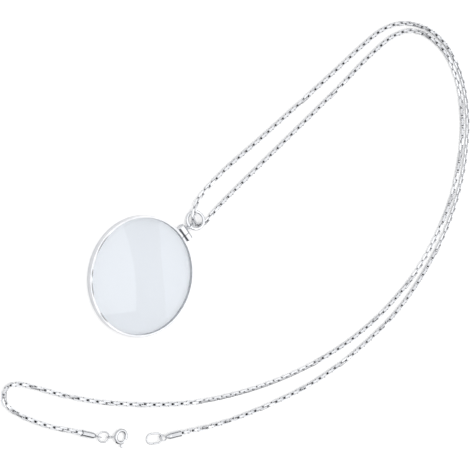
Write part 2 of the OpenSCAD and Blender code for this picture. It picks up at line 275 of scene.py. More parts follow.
ROUTE = np.array(CHAIN_PLACES[0] + CHAIN_PLACES[1], float) + [BAIL[0], BAIL[1], CHAIN_Z]
MEETING = len(CHAIN_PLACES[0]) - 1
CAP_A_TURN = heading(*(ROUTE[0] - ROUTE[1])[:2])
CAP_B_TURN = heading(*(ROUTE[-1] - ROUTE[-2])[:2])
CAP_A_MOUTH = ROUTE[0] - CAP_GRIP * along(CAP_A_TURN)
CAP_B_MOUTH = ROUTE[-1] - CAP_GRIP * along(CAP_B_TURN)
EYE_A = CAP_A_MOUTH + (CAP_LEN + TIP_LEN + CAP_EYE_A_D / 2 - SINK) * along(CAP_A_TURN)
EYE_B = CAP_B_MOUTH + (CAP_LEN + TIP_LEN + CAP_EYE_B_D / 2 - SINK) * along(CAP_B_TURN)
RING_A_AT = EYE_A - RING_A["drop"] * UP
RING_A_END = RING_A_AT + (RING_A["length"] - RING_A["wire"]) * along(RING_A["turn"])
RING_B_AT = EYE_B + RING_B["pull"] * along(CAP_B_TURN) - RING_B["drop"] * UP
RING_B_SLOPE = slope(RING_B_AT[2] - RING_B["wire"] / 2 - 2 * REST_GAP,
                     RING_B["length"] - RING_B["wire"])
TUBE_R = CLASP_R - TUBE_D / 2
CLASP_EYE_X = CLASP_R + NECK_LEN + CLASP_EYE_D / 2 - SINK
CLASP_EYE_AT = RING_A_END + RING_A["drop"] * UP
CLASP_SLOPE = slope(CLASP_EYE_AT[2] - TUBE_D / 2 - 2 * REST_GAP, CLASP_EYE_X + TUBE_R)
CLASP_AXES = turn_z(CLASP_TURN) @ turn_y(CLASP_SLOPE)
CLASP_AT = CLASP_EYE_AT + CLASP_EYE_X * CLASP_AXES[:, 0]
BAIL_LEAN = slope(BAIL[2] - BAIL_WIRE_R - 2 * REST_GAP, BAIL_R)


# Shapes as surfaces

def ring_faces(nu, nv, loop):
    """Faces of a grid of nu rings of nv points. With loop, the last ring joins the first."""
    row = np.arange(nu if loop else nu - 1)[:, None]
    col = np.arange(nv)[None]
    next_row, next_col = (row + 1) % nu, (col + 1) % nv
    return np.stack([row * nv + col, next_row * nv + col,
                     next_row * nv + next_col, row * nv + next_col], -1).reshape(-1, 4)


def point_inward(points, quads, triangles):
    """Whether the faces of a closed solid point inward, by the sign of the volume in them."""
    split = np.vstack([quads[:, [0, 1, 2]], quads[:, [0, 2, 3]], triangles])
    corners = points[split] - points.mean(0)
    return np.einsum("ij,ij->", corners[:, 0], np.cross(corners[:, 1], corners[:, 2])) < 0


class Shape:
    """A mesh in the making. It gathers closed solids, each a grid of points, in millimetres."""

    def __init__(self):
        self.points = []
        self.faces = []
        self.painted_dark = []
        self.count = 0

    def solid(self, grid, loop=False, ends=None, painted_dark=None, flat=False, turn=np.eye(3),
              place=(0, 0, 0)):
        """Adds one closed solid from grid[u, v], where v runs round. With loop, u runs round
        too. Otherwise each end of u is closed, to the two points of ends or to the middle of
        its ring, or with flat by one flat face, whose outline may be hollow. Faces are turned
        outward, and the solid is turned and then moved to its place."""
        nu, nv = grid.shape[:2]
        points = grid.reshape(-1, 3)
        quads = ring_faces(nu, nv, loop)
        triangles = caps = np.zeros((0, 3), int)
        if not loop:
            if ends is None:
                ends = (grid[0].mean(0), grid[-1].mean(0))
            points = np.vstack([points, ends])
            first = np.arange(nv)
            last = first + (nu - 1) * nv
            start = np.stack([np.full(nv, nu * nv), first, np.roll(first, -1)], -1)
            end = np.stack([np.full(nv, nu * nv + 1), np.roll(last, -1), last], -1)
            triangles = np.vstack([start, end])
        inward = point_inward(points, quads, triangles)
        if flat:
            points = points[:nu * nv]
            triangles = triangles[:0]
            caps = np.stack([first, last[::-1]])
        faces = [quads, triangles, caps]
        if inward:
            faces = [kind[:, ::-1] for kind in faces]
        self.add(points @ turn.T + np.asarray(place, float), faces, painted_dark)

    def block(self, outline, low, high):
        """Adds a straight prism over an outline of (y, z), from low to high along X, with its
        edges softened by a smaller ring at each end."""
        middle = outline.mean(0)
        edge = 0.05
        reach = np.linalg.norm(outline - middle, axis=1, keepdims=True)
        inner = middle + (outline - middle) * (1 - edge / reach)
        levels = ((inner, low), (outline, low + edge), (outline, high - edge), (inner, high))
        self.solid(np.stack([np.insert(ring, 0, level, axis=1) for ring, level in levels]))

    def add(self, points, faces, painted_dark):
        """Takes in solids: their points, arrays of their faces and their painted shade."""
        self.points.append(points)
        for kind in faces:
            self.faces += (kind + self.count).tolist()
        shade = np.zeros(len(points))
        if painted_dark is not None:
            shade[:painted_dark.size] = painted_dark.ravel()
        self.painted_dark.append(shade)
        self.count += len(points)

    def moved(self, turn, place):
        """Turns and then moves all that the shape holds so far."""
        self.points = [points @ turn.T + np.asarray(place, float) for points in self.points]

    def piece(self, name, body, material, sharp=38.0):
        """Makes the Blender mesh, which rides on a body and stands for the node of its name."""
        mesh = bpy.data.meshes.new(name)
        mesh.from_pydata(np.vstack(self.points) * MM, [], self.faces)
        mesh.validate()
        mesh.update()
        # The painted shade goes on the mesh as an attribute, which the material reads
        shade = mesh.attributes.new("painted_dark", "FLOAT", "POINT")
        shade.data.foreach_set("value", np.concatenate(self.painted_dark).astype(np.float32))
        mesh.polygons.foreach_set("use_smooth", np.ones(len(mesh.polygons), bool))
        mesh.set_sharp_from_angle(angle=math.radians(sharp))
        mesh.materials.append(material)
        made = bpy.data.objects.new(name, mesh)
        bpy.context.scene.collection.objects.link(made)
        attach(made, body)
        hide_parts(name)
        return made


def soften(corners, radius, steps=4, closed=True):
    """Outline with its corners rounded: at each corner an arc between the two points that lie
    radius before and after it, as the curve (1-t)^2 a + 2t(1-t) corner + t^2 b. A point a
    little further off on each side holds the straight stretches flat."""
    corners = np.asarray(corners, float)
    n = len(corners)
    longest, hold, last_hold = 0.45, 1.35, 0.49
    radii = np.broadcast_to(radius, n)
    t = np.linspace(0, 1, steps + 1)[:, None]
    out = []
    for i, here in enumerate(corners):
        if radii[i] == 0 or not closed and i in (0, n - 1):
            out.append(here)
            continue
        back, on = corners[i - 1] - here, corners[(i + 1) % n] - here
        a, b = np.linalg.norm(back), np.linalg.norm(on)
        r = min(radii[i], longest * a, longest * b)
        p, q = here + back / a * r, here + on / b * r
        out += [here + back / a * min(r * hold, last_hold * a),
                (1 - t) ** 2 * p + 2 * t * (1 - t) * here + t ** 2 * q,
                here + on / b * min(r * hold, last_hold * b)]
    return np.vstack(out)


def lathe(profile, count, start=0.0, final=360.0):
    """Grid of a profile of (distance from the axis, height) carried round Z: each point is
    (r cos a, r sin a, h). The first index runs along the profile, the second round the axis."""
    profile = np.asarray(profile, float)
    full = abs(final - start) >= 360
    a = np.radians(np.linspace(start, final, count, endpoint=not full))
    r, h = profile[:, :1], profile[:, 1:2]
    return np.stack([r * np.cos(a), r * np.sin(a), h + 0 * a], -1)


def tube(middle, out, radius, count):
    """Grid of a tube round a line in the plane, whose outward direction is out: each ring is
    middle + radius (cos a out + sin a up)."""
    a = np.linspace(0, 2 * np.pi, count, endpoint=False)[None, :, None]
    radius = np.broadcast_to(np.asarray(radius, float), (len(middle),))[:, None, None]
    return middle[:, None] + radius * (np.cos(a) * out[:, None] + np.sin(a) * UP)


def torus(big, small, around, section):
    """Grid of a round wire ring, flat in X and Y."""
    out = along(np.linspace(0, 360, around, endpoint=False))
    return tube(big * out, out, small, section)


def oval_line(length, width, wire, count, cut):
    """Middle line of an oval ring along X and its outward direction: two straight sides and two
    half circles, at even steps of its length. The middle of its near end is at the origin. A
    cut leaves it open by that much in the middle of its second side."""
    bend = (width - wire) / 2
    straight = length - wire - 2 * bend
    far = bend + straight
    half = np.pi * bend
    marks = np.cumsum([0, half / 2, straight, half, straight, half / 2])
    first = marks[3] + far - length / 2 if cut else 0.0
    s = np.linspace(first, first + marks[-1] - cut, count, endpoint=cut > 0) % marks[-1]
    out = along(np.interp(s, marks, [180, 270, 270, 450, 450, 540]))
    line = bend * out
    line[:, 0] += np.interp(s, marks, [bend, bend, far, far, bend, bend])
    return line, out


def smooth_route(places, steps):
    """Curve through the route's places. Between two of them it blends the two parabolas through
    their neighbours, with each place's share of the way measured by the root of the distance."""
    ends = (2 * places[0] - places[1], 2 * places[-1] - places[-2])
    p = np.vstack([ends[0], places, ends[1]])
    gap = np.sqrt(np.linalg.norm(np.diff(p, axis=0), axis=1))
    t0, t1, t2, t3 = (
        np.cumsum([0 * gap[2:], gap[:-2], gap[1:-1], gap[2:]], axis=0)[..., None, None])
    t = t1 + (t2 - t1) * np.linspace(0, 1, steps, endpoint=False)[:, None]

    def mix(a, b, low, high):
        """The straight line that is a at low and b at high, read at t."""
        return ((high - t) * a + (t - low) * b) / (high - low)

    p0, p1, p2, p3 = (x[:, None] for x in (p[:-3], p[1:-2], p[2:-1], p[3:]))
    a, b, c = mix(p0, p1, t0, t1), mix(p1, p2, t1, t2), mix(p2, p3, t2, t3)
    curve = mix(mix(a, b, t0, t2), mix(b, c, t1, t3), t1, t2)
    return np.vstack([curve.reshape(-1, 3), places[-1:]])


# Nodes and materials

def feed(tree, made, takes):
    """Gives a node's inputs, by name or number, their value or another node's output."""
    for name, value in takes.items():
        if isinstance(value, bpy.types.NodeSocket):
            tree.links.new(value, made.inputs[name])
        else:
            made.inputs[name].default_value = value


def node(tree, kind, takes, **settings):
    """Makes a shader node with its settings, feeds its inputs and returns its outputs."""
    made = tree.nodes.new("ShaderNode" + kind)
    for name, value in settings.items():
        setattr(made, name, value)
    feed(tree, made, takes)
    return made.outputs


def multiply_add(tree, value, factor, added, clamp=False):
    """value times factor, plus added."""
    return node(tree, "Math", {0: value, 1: factor, 2: added}, operation="MULTIPLY_ADD",
                use_clamp=clamp)[0]


def span(tree, value, start, final, at_start=0.0, at_final=1.0, **settings):
    """Runs from at_start to at_final as value runs from start to final, and no further."""
    return node(tree, "MapRange", {"Value": value, "From Min": start, "From Max": final,
                                   "To Min": at_start, "To Max": at_final}, **settings)[0]


def handling_marks():
    """Node group: the faint unevenness of polished metal. It puts out a roughness, a colour
    factor and a height, from broad smudges, fine hairlines and small nicks."""
    tree = bpy.data.node_groups.get("handling_marks")
    if tree:
        return tree
    tree = bpy.data.node_groups.new("handling_marks", "ShaderNodeTree")
    for name, default in (("Base Roughness", 0.15), ("Spread", 0.08), ("Hairlines", 0.3)):
        socket = tree.interface.new_socket(name, in_out="INPUT", socket_type="NodeSocketFloat")
        socket.default_value = default
        socket.min_value, socket.max_value = 0.0, 1.0
    for name in ("Roughness", "Tone", "Height"):
        tree.interface.new_socket(name, in_out="OUTPUT", socket_type="NodeSocketFloat")
    given = tree.nodes.new("NodeGroupInput").outputs
    out = tree.nodes.new("NodeGroupOutput")

    place = node(tree, "TexCoord", {})["Object"]
    smudge = node(tree, "TexNoise", {"Vector": place, "Scale": 260.0, "Detail": 4.0})["Fac"]
    stretched = node(tree, "Mapping", {"Vector": place, "Scale": (0.12, 1.0, 1.0),
                                       "Rotation": (0.3, 0.2, 0.7)})[0]
    hair = node(tree, "TexNoise", {"Vector": stretched, "Scale": 9000.0, "Detail": 2.0})["Fac"]
    cell = node(tree, "TexVoronoi", {"Vector": place, "Scale": 1400.0})["Distance"]
    nicks = span(tree, cell, 0.03, 0.12, at_start=1.0, at_final=0.0)
    mixed = multiply_add(tree, hair, given["Hairlines"], smudge)
    usual = 0.6
    centred = node(tree, "Math", {0: mixed, 1: usual}, operation="SUBTRACT")[0]
    feed(tree, out, {
        "Roughness": multiply_add(tree, centred, given["Spread"], given["Base Roughness"], True),
        "Tone": span(tree, smudge, 0.3, 0.75, at_start=1.0, at_final=0.0),
        "Height": multiply_add(tree, hair, given["Hairlines"], nicks),
    })
    return tree


def new_material(name):
    """A material with its node tree and its one shader."""
    material = bpy.data.materials.new(name)
    material.use_nodes = True
    return material, material.node_tree, material.node_tree.nodes["Principled BSDF"]


def toward(tree, made, attribute, share, colour):
    """Mixes the colour that made gives towards another, by a share of a mesh attribute."""
    marked = node(tree, "Attribute", {}, attribute_name=attribute)["Fac"]
    part = node(tree, "Math", {0: marked, 1: share}, operation="MULTIPLY")[0]
    return node(tree, "Mix", {"Factor": part, "A": made, "B": (*colour, 1)},
                data_type="RGBA")["Result"]


def metal(name, tones, roughness, spread, hairlines, painted_dark, painted_light=0.0):
    """Polished metal: the colour runs from bright to dark with the smudges, towards white as
    painted light where the mesh marks it, and towards black as painted shade where the mesh marks
    it. Tones are what the settings' bright and dark colours are multiplied by."""
    if name in bpy.data.materials:
        return bpy.data.materials[name]
    material, tree, shader = new_material(name)
    s = look("metal")
    marks = node(tree, "Group", {"Base Roughness": roughness, "Spread": spread,
                                 "Hairlines": hairlines}, node_tree=handling_marks())
    bright, dark = ((*(tone * c for c in colour), 1)
                    for tone, colour in zip(tones, (s.bright, s.dark)))
    made = node(tree, "Mix", {"Factor": marks["Tone"], "A": bright, "B": dark},
                data_type="RGBA")["Result"]
    # Painted light, then painted shade, each by the share that the mesh's attribute gives
    if painted_light > 0:
        made = toward(tree, made, "painted_light", painted_light, PAINTED_LIGHT_COLOUR)
    made = toward(tree, made, "painted_dark", painted_dark, PAINTED_DARK_COLOUR)
    bumped = node(tree, "Bump", {"Strength": 0.25, "Distance": 0.02 * MM,
                                 "Height": marks["Height"]})[0]
    feed(tree, shader, {"Base Color": made, "Roughness": marks["Roughness"], "Metallic": 1.0,
                        "Normal": bumped})
    return material


def silver():
    return metal("silver_finish", (1, 1), look("metal").roughness, spread=0.06, hairlines=0.25,
                 painted_dark=0.8)


def rim_silver():
    s = look("metal")
    return metal("rim_finish", (s.rim_tone, s.rim_tone), 0.8 * s.roughness, spread=0.05,
                 hairlines=0.25, painted_dark=0.9)


def chain_silver():
    s = look("metal")
    return metal("chain_painted_light", (s.chain_tone, s.chain_tone), s.chain_roughness, spread=0.08,
                 hairlines=0.2, painted_dark=s.chain_painted_dark, painted_light=s.chain_painted_light)


def screw_steel():
    return metal("screw_steel", (0.86, 0.8), roughness=0.26, spread=0.1, hairlines=0.9,
                 painted_dark=0.9)


def glass():
    """Clear glass with a faint blue tint and a breath of haze from handling."""
    s = look("glass")
    material, tree, shader = new_material("clear_glass")
    place = node(tree, "TexCoord", {})["Object"]
    haze = node(tree, "TexNoise", {"Vector": place, "Scale": 90.0, "Detail": 5.0})["Fac"]
    feed(tree, shader, {"Base Color": (*s.tint, 1), "Metallic": 0.0, "Transmission Weight": 1.0,
                        "IOR": s.ior, "Roughness": span(tree, haze, 0.45, 0.8, at_final=0.035)})
    return material


# Settings

def colour_setting(name, description, default):
    return FloatVectorProperty(name=name, description=description, subtype="COLOR",
                               default=default, min=0, max=1)


def length_setting(name, description, default, low, high):
    """A length, given here in millimetres and kept in metres."""
    return FloatProperty(name=name, description=description, default=default * MM,
                         min=low * MM, max=high * MM, unit="LENGTH", precision=5)


def amount_setting(name, description, default, high=1.0, low=0.0, **more):
    return FloatProperty(name=name, description=description, default=default, min=low, max=high,
                         **more)


class MetalLook(bpy.types.PropertyGroup):
    bright: colour_setting("Bright", "Colour of the polished metal", (0.58, 0.585, 0.6))
    dark: colour_setting("Dark", "Colour of the metal where it is handled", (0.49, 0.5, 0.52))
    roughness: amount_setting("Roughness", "Roughness of rim, rings and clasp", 0.09)
    chain_roughness: amount_setting("Chain roughness", "Roughness of the links", 0.42)
    rim_tone: amount_setting("Rim tone", "How bright rim and bail are beside the clasp", 1.22,
                             1.6, subtype="FACTOR")
    chain_tone: amount_setting("Chain tone", "How bright the links are beside the clasp", 1.13,
                               1.6, subtype="FACTOR")
    # How strongly the painted shade inside the links darkens them
    chain_painted_dark: amount_setting("Link recess", "Darkness inside the links", 1.0)
    # How strongly the painted light lightens the twisted links
    chain_painted_light: amount_setting("Link polish", "Brightness of the twisted links", 0.45)


class GlassLook(bpy.types.PropertyGroup):
    tint: colour_setting("Tint", "Tint of the glass", (0.872, 0.903, 0.943))
    ior: amount_setting("Index", "Refractive index of the glass", 1.52, 1.9, 1.3)
    steps: IntProperty(name="Segments", description="Segments round the glass",
                       default=160, min=48, max=360)


class ChainLook(bpy.types.PropertyGroup):
    pitch: length_setting("Pitch", "Distance from link to link", 2.067, 1, 4)
    width: length_setting("Width", "Width of a link", 1.77, 1, 1.8)
    gauge: length_setting("Gauge", "Thickness of the links' strip", 0.47, 0.2, 0.6)
    strip: length_setting("Strip", "Width of the strip that a link is bent from", 0.81, 0.3, 0.9)
    slack: length_setting("Slack", "How much longer a link is than its pitch needs", 0.6, 0, 0.8)
    bend: length_setting("Bend", "Radius of a link's corners, in mid strip", 0.38, 0.25, 0.6)
    corner: IntProperty(name="Corner steps", description="Points on each corner of a link",
                        default=3, min=3, max=8)


class StageLook(bpy.types.PropertyGroup):
    floor: colour_setting("Floor", "Colour of the floor", (0.6, 0.6, 0.6))
    glow: amount_setting("Glow", "Light that the floor gives off, as a light table", 0.38, 2)
    size: amount_setting("Size", "Width of the floor", 3.0, 10, 1, unit="LENGTH")
    sky: amount_setting("Sky", "Strength of the light from all round", 1.5, 5)
    screen: amount_setting("Screen", "Height of the dark screen on one side", 0.34, 0.8)
    box: amount_setting("Soft boxes", "Radiance of the two soft boxes", 1.1, 20)


# Makers, one for each piece or group of like pieces

class PENDANT_OT_lens(bpy.types.Operator):
    """Round glass with a flat lower face, a narrow edge in the rim's groove and a domed top"""
    bl_idname = "pendant.lens"
    bl_label = "Lens"

    def execute(self, context):
        low = RIM_H / 2 - LENS_EDGE / 2
        high = low + LENS_EDGE
        ball = (LENS_FACE_R ** 2 + LENS_RISE ** 2) / (2 * LENS_RISE)
        # The dome is the cap of a ball, in rings that lie closer towards its foot
        dome_rings, face_rings, face_from = 30, 8, 2
        r = LENS_FACE_R * np.sin(np.linspace(0, np.pi / 2, dome_rings))[::-1][:-1]
        dome = np.stack([r, high + LENS_RISE - ball + np.sqrt(ball ** 2 - r ** 2)], -1)
        face = np.stack([np.linspace(face_from, LENS_R - 0.3, face_rings),
                         np.full(face_rings, low)], -1)
        edge = soften([[LENS_R - 0.4, low], [LENS_R, low], [LENS_R, high],
                       [LENS_FACE_R + 0.12, high]], radius=0.08, steps=3, closed=False)[1:]
        shape = Shape()
        shape.solid(lathe(np.vstack([face, edge, dome]), look("glass").steps),
                    ends=([0, 0, low], [0, 0, high + LENS_RISE]))
        shape.piece("lens", "necklace", glass(), sharp=30)
        return {"FINISHED"}


class PENDANT_OT_rim(bpy.types.Operator):
    """Split rim with its groove, the two halves of the closing barrel, their solder and the
    bail's eye"""
    bl_idname = "pendant.rim"
    bl_label = "Rim"

    def execute(self, context):
        shape = Shape()
        self.band(shape)
        self.barrel(shape)
        self.foot(shape)
        self.eye(shape)
        shape.piece("rim", "necklace", rim_silver(), sharp=42)
        return {"FINISHED"}

    def band(self, shape):
        """The rim's section carried round from one side of the saw cut to the other."""
        mid = RIM_H / 2
        corners = [[RIM_IN_R, 0], [RIM_R, 0], [RIM_R, RIM_H], [RIM_IN_R, RIM_H],
                   [RIM_IN_R, mid + GROOVE_H / 2], [GROOVE_R, mid + GROOVE_H / 2],
                   [GROOVE_R, mid - GROOVE_H / 2], [RIM_IN_R, mid - GROOVE_H / 2]]
        section = soften(corners, [0.2, 0.14, 0.14, 0.12, 0.06, 0.05, 0.05, 0.06], steps=5)
        start = heading(SPLIT_X - SPLIT_W / 2, RIM_R)
        final = heading(SPLIT_X + SPLIT_W / 2, RIM_R) + 360
        band = lathe(section, count=241, start=start, final=final).transpose(1, 0, 2)
        # Painted shade where the lip's inner wall meets the glass, and painted dark reflections in
        # places on its upper edge too
        r, h = section.T
        lip_top, edge_w, close = RIM_H - 0.2, 0.17, 0.02
        wall = (r < RIM_IN_R + close) & (h > mid) & (h < lip_top)
        edge = (r < RIM_IN_R + edge_w) & (h > lip_top)
        angle = np.degrees(np.arctan2(band[:, 0, 1], band[:, 0, 0])) % 360
        painted_dashes = sum(np.clip(1 - ((2 * angle - low - high) / (high - low)) ** 2, 0, 1)
                    for low, high in RIM_PAINTED_DARKNESS)
        shape.solid(band, painted_dark=PAINTED_DARKNESS * np.maximum(wall, edge * painted_dashes[:, None]), flat=True)

    def barrel(self, shape):
        """Two halves of a round bar on each side of the cut, both bored for the screw."""
        bore, head = SCREW_R + SCREW_GAP, HEAD_R + SCREW_GAP
        step = SCREW_START + HEAD_H + SCREW_GAP
        blind = SCREW_START + SCREW_LEN + SCREW_GAP
        left, right = SPLIT_X - SPLIT_W / 2, SPLIT_X + SPLIT_W / 2
        end, around = BARREL_LEN / 2, 56
        near = soften([[BARREL_R, -end], [BARREL_R, left], [bore, left], [bore, step],
                       [head, step], [head, -end]], [0.16, 0.06, 0.06, 0.03, 0.03, 0.1])
        far = soften([[0, blind], [bore, blind], [bore, right], [BARREL_R, right],
                      [BARREL_R, end], [0, end]], [0, 0.03, 0.06, 0.06, 0.22, 0],
                     closed=False)[1:-1]
        shape.solid(lathe(near, around), loop=True, turn=turn_y(90), place=BARREL)
        shape.solid(lathe(far, around), ends=([0, 0, blind], [0, 0, end]), turn=turn_y(90),
                    place=BARREL)

    def foot(self, shape):
        """Solder between the band and the barrel: a bar whose upper and lower faces sag towards
        its middle, as z = half + sag (2 share - 1)^2 at a share of the way across."""
        half, sag, inset, drop, in_band, off_axis = 0.72, 0.3, 0.08, 0.4, 0.15, 0.2
        share = np.linspace(0, 1, 9)
        low, high = GROOVE_R + in_band, BARREL[1] - off_axis
        y = low + (high - low) * share
        z = half + sag * (2 * share - 1) ** 2
        middle = BARREL[2] - drop
        outline = np.vstack([np.stack([y, middle + z], -1), np.stack([y, middle - z], -1)[::-1]])
        end = BARREL_LEN / 2 - inset
        shape.block(outline, -end, SPLIT_X - SPLIT_W / 2)
        shape.block(outline, SPLIT_X + SPLIT_W / 2, end)

    def eye(self, shape):
        """Upright wire eye on a short post that flares into the barrel."""
        shape.solid(torus(EYE_R, EYE_WIRE_R, around=72, section=24), loop=True, turn=turn_y(90),
                    place=EYE)
        post_foot, post_r, flare, flare_len = 1.0, 0.42, 0.28, 0.5
        h = np.linspace(post_foot, EYE[1] - EYE_R - BARREL[1], 12)
        r = post_r + flare * np.clip((BARREL_R + 0.15 - h) / flare_len, 0, 1) ** 2
        shape.solid(lathe(np.stack([r, h], -1), count=28), turn=turn_x(-90),
                    place=[EYE[0], *BARREL[1:]])


class PENDANT_OT_screw(bpy.types.Operator):
    """Slotted screw in the barrel"""
    bl_idname = "pendant.screw"
    bl_label = "Closing Screw"

    def execute(self, context):
        shape = Shape()
        floor, end = SCREW_START + SLOT_DEPTH, SCREW_START + SCREW_LEN
        neck = SCREW_START + HEAD_H
        body = soften([[0, floor], [HEAD_R, floor], [HEAD_R, neck], [SCREW_R, neck],
                       [SCREW_R, end], [0, end]], [0, 0.02, 0.08, 0.05, 0.2, 0], steps=3,
                      closed=False)[1:-1]
        rings = lathe(body, count=48)
        close = 0.02
        # Painted shade on the floor of the slot
        on_floor = (body[:, 1] < floor + close)[:, None] * np.ones(rings.shape[:2])
        shape.solid(rings, ends=([0, 0, floor], [0, 0, end]), painted_dark=PAINTED_DARKNESS * on_floor,
                    turn=turn_y(90), place=BARREL)
        # The head's two jaws are what a disc keeps on each side of the slot
        sink = 0.06
        for side in (-1, 1):
            start = math.asin(SLOT_W / 2 / HEAD_R)
            a = np.linspace(start, np.pi - start, 25)
            jaw = np.stack([HEAD_R * np.cos(a), side * HEAD_R * np.sin(a)], -1)
            shape.block(jaw + BARREL[1:], SCREW_START, floor + sink)
        shape.piece("closing_screw", "necklace", screw_steel(), sharp=35)
        return {"FINISHED"}


class PENDANT_OT_bail(bpy.types.Operator):
    """Round wire ring that hangs in the bail's eye and leans on the chain"""
    bl_idname = "pendant.bail"
    bl_label = "Bail Ring"

    def execute(self, context):
        shape = Shape()
        shape.solid(torus(BAIL_R, BAIL_WIRE_R, around=128, section=32), loop=True,
                    turn=turn_y(-BAIL_LEAN), place=BAIL)
        shape.piece("bail_ring", "necklace", rim_silver())
        return {"FINISHED"}


class PENDANT_OT_chain(bpy.types.Operator):
    """Square links of bent strip along the chain's route, each a quarter turn on from the last"""
    bl_idname = "pendant.chain"
    bl_label = "Chain"

    def execute(self, context):
        s = look("chain")
        curve = smooth_route(ROUTE, ROUTE_STEPS)
        steps = np.linalg.norm(np.diff(curve, axis=0), axis=1)
        travelled = np.concatenate([[0], np.cumsum(steps)])
        length = travelled[-1]

        def spot(distance):
            return np.stack([np.interp(distance, travelled, curve[:, k]) for k in range(3)], -1)

        # The links' middles, at even steps that are then shifted, and short of the caps' ends
        pitch = s.pitch / MM
        count = int((length - pitch) / pitch)
        at = pitch / 2 + (length - pitch) * np.arange(count + 1) / count
        at = at + np.interp(at, *np.array(CHAIN_SHIFT, float).T)
        inside = (s.pitch + s.slack) / MM / 2 + s.gauge / MM - (CAP_BORE_LEN - CAP_GRIP)
        at = np.clip(at, inside, length - inside)

        # Each link's directions: ahead, and across it in its flat side and through it
        middle = spot(at)
        ahead = unit(spot(at + pitch / 2) - spot(at - pitch / 2))
        side = unit(np.cross(np.array(CAMERA_AT) - middle, ahead))
        top = np.cross(ahead, side)
        twist = np.interp(at, *np.array(CHAIN_TWIST, float).T) + np.arange(count + 1) % 2
        angle = (twist * np.pi / 2)[:, None]
        flat = np.cos(angle) * side + np.sin(angle) * top
        thick = np.cross(ahead, flat)

        # Painted shade is kept in full where every second link turns its opening to the viewer,
        # and fades to a share where the links are twisted, where painted light lightens them
        # instead
        painted_shade_share = PAINTED_SHADE_LEAST + (1 - PAINTED_SHADE_LEAST) * np.cos(twist * np.pi) ** 2
        parts = at < travelled[MEETING * ROUTE_STEPS]
        for name, chosen in (("chain_inner", parts), ("chain_outer", ~parts)):
            axes = np.stack([ahead[chosen], flat[chosen], thick[chosen]], 1)
            self.links(name, middle[chosen], axes, painted_shade_share[chosen], s)
        return {"FINISHED"}

    def links(self, name, middle, axes, painted_shade_share, s):
        """All links of one half in one mesh. A link is a strip bent into a square ring: middle
        + x ahead + y flat + z thick, for each point (x, y, z) of one ring, with ahead, flat and
        thick in axes. The strip's section is gauge by strip wide, with its outer edges
        chamfered."""
        gauge, strip, bend = s.gauge / MM, s.strip / MM, s.bend / MM
        half_x = (s.pitch + s.slack) / MM / 2 + gauge / 2
        half_y = s.width / MM / 2 - gauge / 2
        quarters = (0, 90, 180, 270)
        out = along(np.concatenate([q + np.linspace(0, 90, s.corner) for q in quarters]))
        signs = np.repeat([[1, 1], [-1, 1], [-1, -1], [1, -1]], s.corner, axis=0)
        line = bend * out
        line[:, :2] += signs * [half_x - bend, half_y - bend]
        # Section: x outward, y along the ring's axis
        x, y, cut, fall = gauge / 2, strip / 2, 0.16 * gauge, 0.3 * gauge
        section = np.array([[x, cut - y], [x, y - cut], [x - fall, y], [-x, y], [-x, 0], [-x, -y],
                            [x - fall, -y]])
        ring = line[:, None] + section[:, :1] * out[:, None] + section[:, 1:] * UP
        points = np.einsum("uvk,lkc->luvc", ring, axes) + middle[:, None, None]
        # Painted shade deep in the opening: in the middle of the inner face, and on the two ends'
        # outer faces, which lie inside the next links. One shade for each point of the section.
        inner_shade = np.array([0, 0, 0, 0.2, 0.8, 0.2, 0])
        outer_shade = np.array([1, 1, 0.3, 0, 0, 0, 0.3])
        at_end = np.clip(np.abs(out[:, :1]) * 2 - 1, 0, 1) ** 0.5
        dark = np.maximum(inner_shade, outer_shade * at_end) * painted_shade_share[:, None, None]

        count, nu, nv = points.shape[:3]
        quads = ring_faces(nu, nv, True)
        if point_inward(points[0].reshape(-1, 3), quads, quads[:0, :3]):
            quads = quads[:, ::-1]
        starts = (np.arange(count) * nu * nv)[:, None, None]
        shape = Shape()
        shape.add(points.reshape(-1, 3), [(quads + starts).reshape(-1, 4)], dark)
        made = shape.piece(name, "necklace", chain_silver(), sharp=50)
        # Painted light: each link is lightened towards white by the share of painted shade it
        # loses
        painted_light_layer = made.data.attributes.new("painted_light", "FLOAT", "POINT")
        painted_light_layer.data.foreach_set("value", np.repeat(1 - painted_shade_share, nu * nv))


class PENDANT_OT_caps(bpy.types.Operator):
    """Turned end caps with a lip, a tapered tip and a soldered eye"""
    bl_idname = "pendant.caps"
    bl_label = "End Caps"

    def execute(self, context):
        self.cap("end_cap_a", CAP_A_MOUTH, CAP_A_TURN, CAP_EYE_A_D, 90.0)
        self.cap("end_cap_b", CAP_B_MOUTH, CAP_B_TURN, CAP_EYE_B_D, CAP_EYE_B_LEAN)
        return {"FINISHED"}

    def cap(self, name, mouth, turn, eye_d, lean):
        shape = Shape()
        tip = CAP_LEN + TIP_LEN
        profile = soften([[0, CAP_BORE_LEN], [CAP_BORE_R, CAP_BORE_LEN], [CAP_BORE_R, 0],
                          [CAP_LIP_R, 0], [CAP_LIP_R, CAP_LIP_W], [CAP_R, CAP_LIP_W + 0.06],
                          [CAP_R, CAP_LEN], [TIP_R, tip], [0, tip]],
                         [0, 0.05, 0.1, 0.14, 0.1, 0.05, 0.5, 0.12, 0], steps=5,
                         closed=False)[1:-1]
        shape.solid(lathe(profile, count=56), ends=([0, 0, CAP_BORE_LEN], [0, 0, tip]),
                    turn=turn_y(90))
        shape.solid(torus(eye_d / 2 - CAP_EYE_WIRE_R, CAP_EYE_WIRE_R, around=72, section=20),
                    loop=True, turn=turn_x(lean), place=[tip + eye_d / 2 - SINK, 0, 0])
        shape.moved(turn_z(turn), mouth)
        shape.piece(name, "necklace", silver(), sharp=40)


